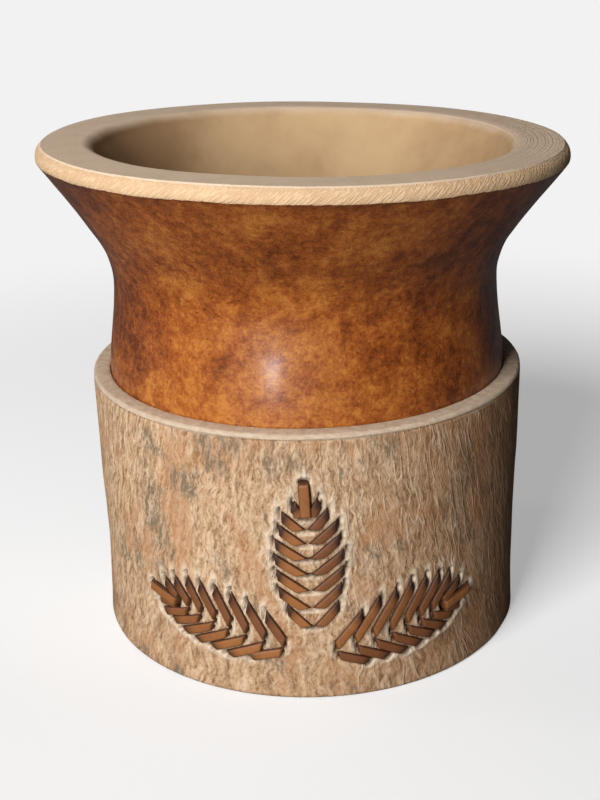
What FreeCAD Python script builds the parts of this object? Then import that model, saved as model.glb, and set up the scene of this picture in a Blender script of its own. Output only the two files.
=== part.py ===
import FreeCAD
import Part
import Sketcher

import math
import os

from FreeCAD import Rotation, Vector

# A mate gourd cup: a flared, varnished gourd seated in a rawhide sleeve that carries three laced wheat ears.
#
# Millimetres, +Z up. The origin is under the cup's axis, at the height of the table. The middle ear
# faces -Y. The pieces are the gourd, the sleeve, the disc that closes the sleeve's foot, and each
# strip of lace that shows: eight pairs and a spike to an ear.

# Every driving dimension, in millimetres unless the note says otherwise.
SIZES = {
    # the gourd, outside
    "overall_height": 95.0,
    "lip_radius": 49.0,  # widest, at the foot of the raw cut band
    "lip_lean": 1.0,  # how far in the edge of the flat cut top is from the widest place
    "lip_band": 2.7,  # height of the raw band
    "lip_bulge": 0.45,  # how far the band stands out from a straight side
    "waist_radius": 36.7,
    "waist_height": 69.5,
    "flare_bend": 17.0,  # radius of the bend from the waist into the flare
    "belly_show": 3.0,  # how far above the sleeve the belly starts to draw in towards the waist
    "heel_radius": 21.0,  # bend from the belly's side to its bottom
    # the gourd, inside
    "rim_width": 9.5,  # of the flat cut top
    "neck_wall": 6.2,
    "belly_wall": 5.9,
    "cavity_top": 50.0,  # where the cavity starts to draw in towards the throat
    "cavity_heel": 18.0,
    "floor_wall": 6.5,
    # the rawhide sleeve and its disc
    "bore_radius": 38.4,  # the belly is glued to the bore
    "sleeve_height": 52.0,
    "hide_at_top": 3.4,  # the hide's thickness
    "hide_at_waist": 2.8,
    "hide_at_foot": 3.3,
    "sleeve_waist_height": 17.0,
    "edge_round": 0.75,  # burnished outer corner of the top edge
    "crease_drop": 1.0,  # from the top edge down to the middle of the creased line
    "crease_width": 0.6,
    "crease_depth": 0.25,
    "disc_thickness": 3.0,
    # the lace: flat strips whose ends turn down into slits in the sleeve
    "lace_width": 1.7,
    "lace_foot_width": 0.8,  # pinched where two strips share the stem
    "lace_tip_width": 0.9,
    "lace_thickness": 0.9,
    "lace_bend": 0.5,  # inside bend where a strip turns into its slit
    "lace_sink": 0.2,  # how deep a tight strip beds into the hide
    "slit_depth": 1.7,  # how deep an end goes into the hide
    "stem_gap": 0.1,  # from an ear's stem to the nearest corner of a foot
    # an ear laid out flat: pairs of strips climb the stem from its foot
    "first_space": 2.02,  # between the two lowest pairs, beyond the lace's own width
    "space_loss": 0.2,  # each space is shorter than the one below by this much
    "ear_half_width": 6.5,
    "ear_middle": 9.0,  # the widest place, above the stem's foot
    "ear_spare": 1.15,  # the oval that the tips lie on ends this far above the top pair
    "rise_loss": 0.12,  # each pair climbs less than the one below by this much
    "spike_length": 7.6,
    "spike_drop": 0.7,  # the spike's foot is this far below the top pair's feet
    "spike_clearance": 0.3,  # between the spike and the top pair that it crosses
    "hand_play": 0.2,  # unevenness of hand lacing
}
PAIRS = 8
SWELL = 0.58  # the share of its run at which a strip is widest
SHEET = "Sizes"


def derived():
    """Sizes that follow from the driving dimensions, under their own names."""
    size = dict(SIZES)
    size["lip_top_radius"] = size["lip_radius"] - size["lip_lean"]
    size["mouth_radius"] = size["lip_top_radius"] - size["rim_width"]
    size["throat_radius"] = size["waist_radius"] - size["neck_wall"]
    size["cavity_radius"] = size["bore_radius"] - size["belly_wall"]
    size["belly_top"] = size["sleeve_height"] + size["belly_show"]
    for place in ("top", "waist", "foot"):
        size[f"sleeve_{place}_radius"] = size["bore_radius"] + size[f"hide_at_{place}"]
    return size


class Ear:
    """Where one ear lies on the unrolled sleeve, and how its two sides differ.

    arc and height place the stem's foot, and lean is in degrees from upright, to the right.
    The sides are (share of the even half width, climb of a strip from stem to tip).
    """

    def __init__(self, name, arc, height, lean, left, right):
        self.name = name
        self.arc = arc
        self.height = height
        self.lean = math.radians(lean)
        self.sides = {"left": left, "right": right}

    def point(self, along, across):
        """A place on the unrolled sleeve: along the stem from its foot, and across to its right."""
        sine, cosine = math.sin(self.lean), math.cos(self.lean)
        return (self.arc + along * sine + across * cosine, self.height + along * cosine - across * sine)


EARS = (
    Ear("middle", 0.0, 14.6, -2.5, left=(0.98, 4.6), right=(1.0, 4.9)),
    Ear("left", -5.3, 10.4, -75.4, left=(0.86, 6.6), right=(1.08, 5.4)),
    Ear("right", 4.0, 9.6, 77.8, left=(1.24, 6.9), right=(0.80, 6.0)),
)


def cell(name):
    """A sheet cell as an expression writes it."""
    return f"{SHEET}.{name}"


LIP_TOP_RULE = f"{cell('lip_radius')} - {cell('lip_lean')}"
SLEEVE_TOP_RULE = f"{cell('bore_radius')} + {cell('hide_at_top')}"
CREASE_HEIGHT_RULE = f"{cell('sleeve_height')} - {cell('crease_drop')}"


def make_sheet(doc):
    """Puts every driving dimension in a cell of its own, under its name."""
    sheet = doc.addObject("Spreadsheet::Sheet", SHEET)
    for row, (alias, value) in enumerate(SIZES.items(), start=1):
        sheet.set(f"A{row}", alias)
        sheet.set(f"B{row}", str(value))
        sheet.setAlias(f"B{row}", alias)
    doc.recompute()
    return sheet


class Outline:
    """A closed outline drawn point by point in one of a body's own planes."""

    def __init__(self, body, name, role):
        self.sketch = body.newObject("Sketcher::SketchObject", name)
        plane = [f for f in body.Origin.OriginFeatures if f.Role == role][0]
        self.sketch.AttachmentSupport = (plane, [""])
        self.sketch.MapMode = "FlatFace"
        self.first = None
        self.last = None

    def line(self, start, end, smooth=False):
        """Adds a line on from where the outline has got to, and gives its index."""
        index = self.sketch.addGeometry(Part.LineSegment(Vector(*start, 0), Vector(*end, 0)), False)
        return self._join(index, 1, 2, smooth)

    def arc(self, centre, start, end, smooth=False):
        """Adds the shorter arc about centre, and gives its index."""
        low, high = (math.atan2(p[1] - centre[1], p[0] - centre[0]) for p in (start, end))
        turn = (high - low + math.pi) % (2 * math.pi) - math.pi
        circle = Part.Circle(Vector(*centre, 0), Vector(0, 0, 1), math.dist(centre, start))
        if turn > 0:
            index = self.sketch.addGeometry(Part.ArcOfCircle(circle, low, low + turn), False)
            return self._join(index, 1, 2, smooth)
        index = self.sketch.addGeometry(Part.ArcOfCircle(circle, low + turn, low), False)
        return self._join(index, 2, 1, smooth)

    def _join(self, index, first, last, smooth):
        if self.last is None:
            self.first = (index, first)
        else:
            self.rule("Tangent" if smooth else "Coincident", *self.last, index, first)
        self.last = (index, last)
        return index

    def close(self):
        """Joins the outline's end to its start."""
        self.rule("Coincident", *self.last, *self.first)
        self.first = self.last = None

    def rule(self, kind, *where):
        """Adds a geometric constraint."""
        self.sketch.addConstraint(Sketcher.Constraint(kind, *where))

    def size(self, kind, *where_and_value, by):
        """Adds a dimension and binds it to an expression on the sheet's cells."""
        index = self.sketch.addConstraint(Sketcher.Constraint(kind, *where_and_value))
        self.sketch.setExpression(f"Constraints[{index}]", by)

    def here(self, point, across=None, up=None):
        """Dimensions the place that the outline has got to, from the plane's origin."""
        if across:
            self.size("DistanceX", -1, 1, *self.last, point[0], by=across)
        if up:
            self.size("DistanceY", -1, 1, *self.last, point[1], by=up)

    def done(self, doc):
        """Solves the outline and stops at one that contradicts itself."""
        doc.recompute()
        if self.sketch.solve() != 0:
            raise RuntimeError(f"{self.sketch.Name} cannot be solved")
        return self.sketch


def s_bend(start, end):
    """Centres and joint of two equal arcs that are upright at start and at end."""
    across, up = end[0] - start[0], end[1] - start[1]
    radius = (across**2 + up**2) / (4 * across)
    joint = ((start[0] + end[0]) / 2, (start[1] + end[1]) / 2)
    return (start[0] + radius, start[1]), (end[0] - radius, end[1]), joint


def upright_arc(foot, head):
    """Centre of the arc through foot and head that is upright at foot."""
    across, up = head[0] - foot[0], head[1] - foot[1]
    return (foot[0] + (across**2 + up**2) / (2 * across), foot[1])


def tangent_joint(centre, radius, target):
    """Where a line to target touches the circle, on the side towards the cup's axis."""
    across, up = target[0] - centre[0], target[1] - centre[1]
    angle = math.atan2(up, across) + math.acos(radius / math.hypot(across, up))
    return (centre[0] + radius * math.cos(angle), centre[1] + radius * math.sin(angle))


def bulge_centre(start, end, bulge):
    """Centre of the arc from start to end that stands out by bulge, to the right of the way up."""
    chord = math.dist(start, end)
    back = (chord**2 / 4 + bulge**2) / (2 * bulge) - bulge
    across, up = (end[0] - start[0]) / chord, (end[1] - start[1]) / chord
    middle = ((start[0] + end[0]) / 2, (start[1] + end[1]) / 2)
    return (middle[0] - up * back, middle[1] + across * back)


def band_radius_rule():
    """Radius of the lip band's arc, whose chord and bulge are known, as an expression."""
    lean, band = cell("lip_lean"), cell("lip_band")
    chord_squared = f"({lean} * {lean} + {band} * {band})"
    bulge = cell("lip_bulge")
    return f"({chord_squared} / 4 + {bulge} * {bulge}) / (2 * {bulge})"


def revolve(doc, body, sketch, kind="Revolution"):
    """Turns an outline once round the cup's axis, as solid or as a groove."""
    turn = body.newObject(f"PartDesign::{kind}", f"{sketch.Name}{kind}")
    turn.Profile = sketch
    turn.ReferenceAxis = (sketch, ["V_Axis"])
    turn.Angle = 360.0
    doc.recompute()
    return turn


def make_gourd(doc):
    """The gourd: one hollow solid with a flat sawn lip, a drawn-in waist and a round belly."""
    body = doc.addObject("PartDesign::Body", "Gourd")
    body.Label = "gourd"
    outline = Outline(body, "GourdOutline", "XZ_Plane")
    draw_gourd_outside(outline)
    draw_gourd_inside(outline)
    revolve(doc, body, outline.done(doc))
    return body


def draw_gourd_outside(outline):
    """Draws from the middle of the bottom, up the outside, to the outer edge of the sawn lip."""
    size = derived()
    seat, belly, heel = size["disc_thickness"], size["bore_radius"], size["heel_radius"]
    bottom_edge = (belly - heel, seat)
    heel_top = (belly, seat + heel)
    belly_top = (belly, size["belly_top"])
    waist = (size["waist_radius"], size["waist_height"])
    lip = (size["lip_radius"], size["overall_height"] - size["lip_band"])
    edge = (size["lip_top_radius"], size["overall_height"])

    bottom = outline.line((0, seat), bottom_edge)
    outline.rule("Horizontal", bottom)
    outline.rule("PointOnObject", bottom, 1, -2)
    outline.here(bottom_edge, up=cell("disc_thickness"))
    turn = outline.arc((belly - heel, seat + heel), bottom_edge, heel_top, smooth=True)
    outline.size("Radius", turn, heel, by=cell("heel_radius"))
    side = outline.line(heel_top, belly_top, smooth=True)
    outline.rule("Vertical", side)
    outline.here(belly_top, across=cell("bore_radius"), up=f"{cell('sleeve_height')} + {cell('belly_show')}")
    shoulder_centre, neck_centre, joint = s_bend(belly_top, waist)
    shoulder = outline.arc(shoulder_centre, belly_top, joint, smooth=True)
    neck = outline.arc(neck_centre, joint, waist, smooth=True)
    outline.rule("Equal", shoulder, neck)
    outline.here(waist, across=cell("waist_radius"), up=cell("waist_height"))
    bend_centre = (waist[0] + size["flare_bend"], waist[1])
    bend_end = tangent_joint(bend_centre, size["flare_bend"], lip)
    bend = outline.arc(bend_centre, waist, bend_end)
    outline.size("Radius", bend, size["flare_bend"], by=cell("flare_bend"))
    outline.size("DistanceY", -1, 1, bend, 3, waist[1], by=cell("waist_height"))
    outline.line(bend_end, lip, smooth=True)
    outline.here(lip, cell("lip_radius"), f"{cell('overall_height')} - {cell('lip_band')}")
    centre = bulge_centre(lip, edge, size["lip_bulge"])
    band = outline.arc(centre, lip, edge)
    outline.size("Radius", band, math.dist(centre, lip), by=band_radius_rule())
    outline.here(edge, LIP_TOP_RULE, cell("overall_height"))


def draw_gourd_inside(outline):
    """Draws from the outer edge of the sawn lip, down the cavity, back to the middle of the bottom."""
    size = derived()
    floor = size["disc_thickness"] + size["floor_wall"]
    hollow, cavity = size["cavity_heel"], size["cavity_radius"]
    edge = (size["lip_top_radius"], size["overall_height"])
    mouth = (size["mouth_radius"], size["overall_height"])
    throat = (size["throat_radius"], size["waist_height"])
    cavity_top = (cavity, size["cavity_top"])
    cavity_foot = (cavity, floor + hollow)
    floor_edge = (cavity - hollow, floor)

    sawn = outline.line(edge, mouth)
    outline.rule("Horizontal", sawn)
    outline.here(mouth, across=f"{LIP_TOP_RULE} - {cell('rim_width')}")
    flare = outline.arc(upright_arc(throat, mouth), mouth, throat)
    outline.size("DistanceY", -1, 1, flare, 3, throat[1], by=cell("waist_height"))
    outline.here(throat, f"{cell('waist_radius')} - {cell('neck_wall')}", cell("waist_height"))
    throat_centre, cavity_centre, joint = s_bend(throat, cavity_top)
    upper = outline.arc(throat_centre, throat, joint)
    outline.size("DistanceY", -1, 1, upper, 3, throat[1], by=cell("waist_height"))
    outline.arc(cavity_centre, joint, cavity_top, smooth=True)
    outline.here(cavity_top, f"{cell('bore_radius')} - {cell('belly_wall')}", cell("cavity_top"))
    side = outline.line(cavity_top, cavity_foot, smooth=True)
    outline.rule("Vertical", side)
    turn = outline.arc((cavity - hollow, floor + hollow), cavity_foot, floor_edge, smooth=True)
    outline.size("Radius", turn, hollow, by=cell("cavity_heel"))
    bottom = outline.line(floor_edge, (0, floor), smooth=True)
    outline.rule("Horizontal", bottom)
    outline.rule("PointOnObject", bottom, 2, -2)
    outline.here((0, floor), up=f"{cell('disc_thickness')} + {cell('floor_wall')}")
    outline.line((0, floor), (0, size["disc_thickness"]))
    outline.close()


def make_sleeve_blank(doc):
    """The sleeve before it is slit: a thick ring with a burnished top edge and a creased line."""
    size = derived()
    body = doc.addObject("PartDesign::Body", "SleeveBlank")
    body.Label = "sleeve_blank"
    bore, height, round_off = size["bore_radius"], size["sleeve_height"], size["edge_round"]
    foot = (size["sleeve_foot_radius"], 0)
    waist = (size["sleeve_waist_radius"], size["sleeve_waist_height"])
    shoulder = (size["sleeve_top_radius"], height - round_off)
    crown = (size["sleeve_top_radius"] - round_off, height)

    outline = Outline(body, "SleeveOutline", "XZ_Plane")
    base = outline.line((bore, 0), foot)
    outline.rule("Horizontal", base)
    outline.rule("PointOnObject", base, 1, -1)
    outline.here(foot, across=f"{cell('bore_radius')} + {cell('hide_at_foot')}")
    outline.line(foot, waist)
    outline.here(waist, f"{cell('bore_radius')} + {cell('hide_at_waist')}", cell("sleeve_waist_height"))
    outline.line(waist, shoulder)
    outline.here(shoulder, SLEEVE_TOP_RULE, f"{cell('sleeve_height')} - {cell('edge_round')}")
    corner = outline.arc((crown[0], shoulder[1]), shoulder, crown)
    outline.size("Radius", corner, round_off, by=cell("edge_round"))
    outline.here(crown, f"{SLEEVE_TOP_RULE} - {cell('edge_round')}", cell("sleeve_height"))
    top = outline.line(crown, (bore, height))
    outline.rule("Horizontal", top)
    outline.here((bore, height), across=cell("bore_radius"))
    outline.line((bore, height), (bore, 0))
    outline.rule("Vertical", outline.last[0])
    outline.close()
    revolve(doc, body, outline.done(doc))
    crease_sleeve(doc, body)
    return body


def crease_sleeve(doc, body):
    """Presses the creased line round the sleeve, a small V just below its top edge.

    The cut is drawn twice as deep and as wide as the crease, so that half of it lies outside the hide.
    """
    size = SIZES
    middle = size["sleeve_height"] - size["crease_drop"]
    root = (radius_at(middle) - size["crease_depth"], middle)
    mouth = root[0] + 2 * size["crease_depth"]
    low, high = (mouth, middle - size["crease_width"]), (mouth, middle + size["crease_width"])
    before = body.Shape.Volume
    outline = Outline(body, "CreaseOutline", "XZ_Plane")
    lower = outline.line(root, low)
    outline.rule("Vertical", outline.line(low, high))
    upper = outline.line(high, root)
    outline.here(root, crease_root_rule(), CREASE_HEIGHT_RULE)
    outline.size("DistanceX", lower, 1, lower, 2, mouth - root[0], by=f"2 * {cell('crease_depth')}")
    outline.size("DistanceY", lower, 2, lower, 1, size["crease_width"], by=cell("crease_width"))
    outline.size("DistanceY", upper, 2, upper, 1, size["crease_width"], by=cell("crease_width"))
    outline.close()
    revolve(doc, body, outline.done(doc), kind="Groove")
    if body.Shape.Volume >= before:
        raise RuntimeError("the creased line removed nothing")


def crease_root_rule():
    """Radius of the crease's root, on the cone above the sleeve's waist, as an expression."""
    waist = cell("sleeve_waist_height")
    share = f"({CREASE_HEIGHT_RULE} - {waist}) / ({cell('sleeve_height')} - {cell('edge_round')} - {waist})"
    spread = f"({cell('hide_at_top')} - {cell('hide_at_waist')})"
    return f"{cell('bore_radius')} + {cell('hide_at_waist')} + {spread} * {share} - {cell('crease_depth')}"


def make_disc(doc):
    """The disc that closes the sleeve's foot and carries the gourd's bottom."""
    disc = doc.addObject("Part::Cylinder", "BaseDisc")
    disc.Label = "base_disc"
    disc.setExpression("Radius", cell("bore_radius"))
    disc.setExpression("Height", cell("disc_thickness"))
    disc.Placement = FreeCAD.Placement()
    return disc


def radius_at(height):
    """Outer radius of the sleeve at a height, on the cone below or above its waist."""
    size = derived()
    waist = (size["sleeve_waist_radius"], size["sleeve_waist_height"])
    low_end = (size["sleeve_foot_radius"], 0)
    high_end = (size["sleeve_top_radius"], size["sleeve_height"] - size["edge_round"])
    end = low_end if height < waist[1] else high_end
    return waist[0] + (end[0] - waist[0]) * (height - waist[1]) / (end[1] - waist[1])


def on_sleeve(flat):
    """The place on the sleeve's outside that a place on the unrolled sleeve wraps to."""
    arc, height = flat
    turn = arc / derived()["sleeve_waist_radius"]
    radius = radius_at(height)
    return Vector(radius * math.sin(turn), -radius * math.cos(turn), height)


def uneven(*keys):
    """A repeatable number from -1 to 1 for the play of hand work."""
    return math.sin(sum((index + 1.7) * 2.399 * key for index, key in enumerate(keys, start=1)))


def foot_heights():
    """How far up the stem each pair starts, from the lowest pair to the top one."""
    first = SIZES["lace_width"] + SIZES["first_space"]
    gaps = [first - SIZES["space_loss"] * step for step in range(PAIRS - 1)]
    return [sum(gaps[:pair]) for pair in range(PAIRS)]


def strip_run(ear, number, side, pair):
    """Foot and tip of one strip of a pair, on the unrolled sleeve."""
    size = SIZES
    share, climb = ear.sides[side]
    start = foot_heights()[pair]
    play = size["hand_play"]
    half_length = foot_heights()[-1] + size["ear_spare"] - size["ear_middle"]
    fall = (start - size["ear_middle"]) / half_length
    half_width = share * size["ear_half_width"] * math.sqrt(1 - fall**2)
    half_width += play * uneven(number, pair, 1 if side == "left" else 4)
    rise = climb + size["rise_loss"] * ((PAIRS - 1) / 2 - pair) + play * uneven(pair, number, 2)
    reach = math.hypot(half_width, rise)
    inset = size["stem_gap"] + size["lace_foot_width"] / 2 * rise / reach
    sign = -1 if side == "left" else 1
    foot = ear.point(start + inset * rise / half_width, sign * inset)
    return foot, ear.point(start + rise, sign * half_width)


def spike_run(ear):
    """Foot and tip of the strip that lies over the top pair, on the unrolled sleeve."""
    foot = foot_heights()[-1] - SIZES["spike_drop"]
    return ear.point(foot, 0), ear.point(foot + SIZES["spike_length"], 0)


def make_strip(doc, name, run, lift=0.0, lift_rule="0"):
    """One strip of lace: a flat bar whose ends turn down into the hide, widest above its middle.

    lift raises the bar off the hide, where it crosses other strips.
    """
    size = SIZES
    foot, tip = (on_sleeve(flat) for flat in run)
    length = foot.distanceToPoint(tip)
    body = doc.addObject("PartDesign::Body", name)
    body.Label = name
    outline = Outline(body, f"{name}_side", "XZ_Plane")
    draw_strip_side(outline, length, lift, lift_rule)
    pad = body.newObject("PartDesign::Pad", f"{name}_bar")
    pad.Profile = outline.done(doc)
    pad.setExpression("Length", cell("lace_width"))
    pad.Midplane = True
    doc.recompute()
    before = body.Shape.Volume
    plan = Outline(body, f"{name}_plan", "XY_Plane")
    draw_strip_plan(plan, length)
    trim = body.newObject("PartDesign::Pocket", f"{name}_trim")
    trim.Profile = plan.done(doc)
    trim.Type = "ThroughAll"
    trim.Midplane = True
    doc.recompute()
    if body.Shape.Volume >= before:
        raise RuntimeError(f"{name} was not trimmed")
    along = tip - foot
    middle = foot + along * 0.5
    outwards = Vector(middle.x, middle.y, 0)
    across = outwards.cross(along)
    body.Placement = FreeCAD.Placement(foot, Rotation(along, across, outwards, "XYZ"))
    return body


def draw_strip_side(outline, length, lift, lift_rule):
    """Draws a strip from the side: x along its run and y outwards, with y = 0 at the hide's face."""
    size = SIZES
    thick, inner = size["lace_thickness"], size["lace_bend"]
    outer = inner + thick
    depth = -size["slit_depth"]
    under = lift - size["lace_sink"]
    over = under + thick
    under_rule = f"{lift_rule} - {cell('lace_sink')}"
    over_rule = f"{under_rule} + {cell('lace_thickness')}"
    bend_rule = f"{over_rule} - {cell('lace_thickness')} - {cell('lace_bend')}"
    turn = under - inner
    outline.line((0, depth), (0, turn))
    outline.rule("Vertical", outline.last[0])
    outline.here((0, turn), up=bend_rule)
    outline.arc((outer, turn), (0, turn), (outer, over), smooth=True)
    outline.size("Radius", outline.last[0], outer, by=f"{cell('lace_bend')} + {cell('lace_thickness')}")
    top = outline.line((outer, over), (length - outer, over), smooth=True)
    outline.rule("Horizontal", top)
    outline.arc((length - outer, turn), (length - outer, over), (length, turn), smooth=True)
    outline.rule("Equal", outline.last[0], 1)
    outline.line((length, turn), (length, depth), smooth=True)
    outline.rule("Vertical", outline.last[0])
    outline.sketch.addConstraint(Sketcher.Constraint("DistanceX", -1, 1, *outline.last, length))
    outline.here((length, depth), up=f"-{cell('slit_depth')}")
    outline.line((length, depth), (length - thick, depth))
    outline.rule("Horizontal", outline.last[0])
    outline.line((length - thick, depth), (length - thick, turn))
    outline.rule("Vertical", outline.last[0])
    outline.arc((length - outer, turn), (length - thick, turn), (length - outer, under), smooth=True)
    outline.size("Radius", outline.last[0], inner, by=cell("lace_bend"))
    outline.line((length - outer, under), (outer, under), smooth=True)
    outline.rule("Horizontal", outline.last[0])
    outline.here((outer, under), up=under_rule)
    outline.arc((outer, turn), (outer, under), (thick, turn), smooth=True)
    outline.size("Radius", outline.last[0], inner, by=cell("lace_bend"))
    outline.line((thick, turn), (thick, depth), smooth=True)
    outline.rule("Vertical", outline.last[0])
    outline.here((thick, depth), across=cell("lace_thickness"))
    outline.line((thick, depth), (0, depth))
    outline.rule("Horizontal", outline.last[0])
    outline.rule("PointOnObject", *outline.first, -2)
    outline.close()


def draw_strip_plan(outline, length):
    """Draws what is trimmed off a strip from above: all that lies outside its leaf shape."""
    size = SIZES
    widest = length * SWELL
    foot, middle, tip = (size[key] / 2 for key in ("lace_foot_width", "lace_width", "lace_tip_width"))
    leaf = [(0, -foot), (widest, -middle), (length, -tip), (length, tip), (widest, middle), (0, foot)]
    spare = size["lace_width"]
    frame = [(-spare, -spare), (length + spare, -spare), (length + spare, spare), (-spare, spare)]
    for corners in (leaf, frame):
        for start, end in zip(corners, corners[1:] + corners[:1]):
            outline.line(start, end)
        outline.close()
        newest = outline.sketch.GeometryCount - 1
        for step in range(len(corners)):
            outline.rule("Block", newest - step)


def make_ear(doc, number, ear):
    """All the strips of one ear, from its foot up, and the spike over the top pair."""
    strips = []
    for pair in range(PAIRS):
        for side in ear.sides:
            name = f"ear_{ear.name}_{side}_{pair + 1}"
            strips.append(make_strip(doc, name, strip_run(ear, number, side, pair)))
    name = f"ear_{ear.name}_spike"
    lift = SIZES["lace_thickness"] + SIZES["spike_clearance"]
    lift_rule = f"{cell('lace_thickness')} + {cell('spike_clearance')}"
    strips.append(make_strip(doc, name, spike_run(ear), lift, lift_rule))
    return strips


def slit_sleeve(doc, blank, strips):
    """The finished sleeve: the blank with a slit and a shallow bed for each strip."""
    bundle = doc.addObject("Part::Compound", "AllStrips")
    bundle.Links = strips
    sleeve = doc.addObject("Part::Cut", "Sleeve")
    sleeve.Label = "leather_sleeve"
    sleeve.Base = blank
    sleeve.Tool = bundle
    doc.recompute()
    return sleeve


def check(doc, pieces):
    """Stops at any object that failed and at any piece that is not one sound solid."""
    for item in doc.Objects:
        if {"Invalid", "Error"} & set(item.State):
            raise RuntimeError(f"{item.Label} failed: {item.State}")
    for piece in pieces:
        shape = piece.Shape
        if shape.isNull() or not shape.isValid() or len(shape.Solids) != 1:
            raise RuntimeError(f"{piece.Label} is not one sound solid")


def main():
    """Builds the cup, checks it and writes each piece to a file of its own name."""
    doc = FreeCAD.newDocument("MateGourdCup")
    make_sheet(doc)
    gourd = make_gourd(doc)
    blank = make_sleeve_blank(doc)
    disc = make_disc(doc)
    strips = [strip for number, ear in enumerate(EARS) for strip in make_ear(doc, number, ear)]
    sleeve = slit_sleeve(doc, blank, strips)
    doc.recompute()
    pieces = [gourd, sleeve, disc, *strips]
    check(doc, pieces)
    os.makedirs("parts", exist_ok=True)
    for piece in pieces:
        piece.Shape.exportStep(os.path.join("parts", f"{piece.Label}.step"))
        print(piece.Label, round(piece.Shape.Volume, 1))


main()
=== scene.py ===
"""A mate gourd cup: a varnished gourd in a thick rawhide sleeve that carries three laced wheat ears.

The sizes below are millimetres, and every mesh is scaled to metres as it is finished. The cup's axis
is Z, the table is at z = 0 and the middle ear faces -Y. A flat place on the sleeve is given by its
arc, measured to the right from the front line, and its height.
"""

import logging
import math
from dataclasses import dataclass, field
from enum import Enum

import bmesh
import bpy
import numpy as np
from mathutils import Matrix, Vector, noise


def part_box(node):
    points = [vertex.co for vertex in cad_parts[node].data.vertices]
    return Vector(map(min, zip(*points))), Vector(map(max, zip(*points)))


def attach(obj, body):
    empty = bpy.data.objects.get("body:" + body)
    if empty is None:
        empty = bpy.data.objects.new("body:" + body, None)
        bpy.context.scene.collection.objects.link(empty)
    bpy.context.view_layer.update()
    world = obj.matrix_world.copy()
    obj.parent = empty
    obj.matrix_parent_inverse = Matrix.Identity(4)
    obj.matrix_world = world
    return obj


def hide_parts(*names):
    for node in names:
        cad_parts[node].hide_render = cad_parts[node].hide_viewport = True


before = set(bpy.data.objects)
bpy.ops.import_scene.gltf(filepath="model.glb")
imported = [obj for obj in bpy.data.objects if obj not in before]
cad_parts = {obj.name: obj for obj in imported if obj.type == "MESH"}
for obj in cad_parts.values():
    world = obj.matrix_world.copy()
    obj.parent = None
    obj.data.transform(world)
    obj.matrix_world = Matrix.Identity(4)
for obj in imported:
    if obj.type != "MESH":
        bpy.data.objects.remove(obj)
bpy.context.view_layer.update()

log = logging.getLogger("mate_gourd_cup")

MM = 0.001
QUARTER_BULGE = 0.2929  # how far a quarter arc stands out from its chord, as a share of its radius
Colour = tuple[float, float, float]
Point = tuple[float, float]


def mm_box(node: str) -> tuple[Vector, Vector]:
    """Gives a CAD node's lowest and highest corner in millimetres."""
    low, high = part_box(node)
    return Vector(low) / MM, Vector(high) / MM


def smooth_step(values: np.ndarray, start: float, end: float) -> np.ndarray:
    """Ramps from 0 at start to 1 at end with a soft beginning and finish."""
    share = np.clip((values - start) / (end - start), 0.0, 1.0)
    return share * share * (3.0 - 2.0 * share)


def gauss(values: np.ndarray, width: float, power: int = 2) -> np.ndarray:
    """Falls from 1 at zero to about a third at width, more squarely for a higher even power."""
    return np.exp(-((values / width) ** power))


def rough_field(points: np.ndarray, size: float, seed: float, octaves: int = 3) -> np.ndarray:
    """Evaluates soft fractal noise at many places.

    Args:
        points: One row of x, y and z for each place.
        size: The size of the largest features, in the units of the places.
        seed: An offset that gives another pattern.
        octaves: How many finer layers are added.

    Returns:
        A value from about -1 to 1 for each place.
    """
    shift = Vector((seed, 1.7 * seed, -0.6 * seed))
    value = [noise.fractal(Vector(p) + shift, 0.9, 2.1, octaves) for p in points / size]
    return np.array(value)


def uneven(*keys: float) -> float:
    """Gives a repeatable number from -1 to 1 for the play of hand work at the place these name."""
    return math.sin(sum((index + 1.7) * 2.399 * key for index, key in enumerate(keys, start=1)))


# ---- Shader building ----


class Wire:
    """A socket that carries a number, with arithmetic that adds Math nodes."""

    def __init__(self, recipe: "Recipe", socket: bpy.types.NodeSocket | None) -> None:
        """Keeps the socket and the recipe that it belongs to."""
        self.recipe = recipe
        self.socket = socket

    def _maths(self, operation: str, *values: "Wire | float") -> "Wire":
        """Adds a Math node on these values."""
        return self.recipe.node("ShaderNodeMath", {"operation": operation}, dict(enumerate(values)))

    def __add__(self, other: "Wire | float") -> "Wire":
        """Adds."""
        return self._maths("ADD", self, other)

    def __radd__(self, other: float) -> "Wire":
        """Adds, number first."""
        return self._maths("ADD", other, self)

    def __sub__(self, other: "Wire | float") -> "Wire":
        """Subtracts."""
        return self._maths("SUBTRACT", self, other)

    def __rsub__(self, other: float) -> "Wire":
        """Subtracts from a number."""
        return self._maths("SUBTRACT", other, self)

    def __mul__(self, other: "Wire | float") -> "Wire":
        """Multiplies."""
        return self._maths("MULTIPLY", self, other)

    def ramp(self, start: float, end: float) -> "Wire":
        """Ramps softly from 0 at start to 1 at end, which may be the lower one."""
        return self.recipe.node(
            "ShaderNodeMapRange",
            {"interpolation_type": "SMOOTHSTEP"},
            {"Value": self, "From Min": start, "From Max": end},
        )


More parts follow.
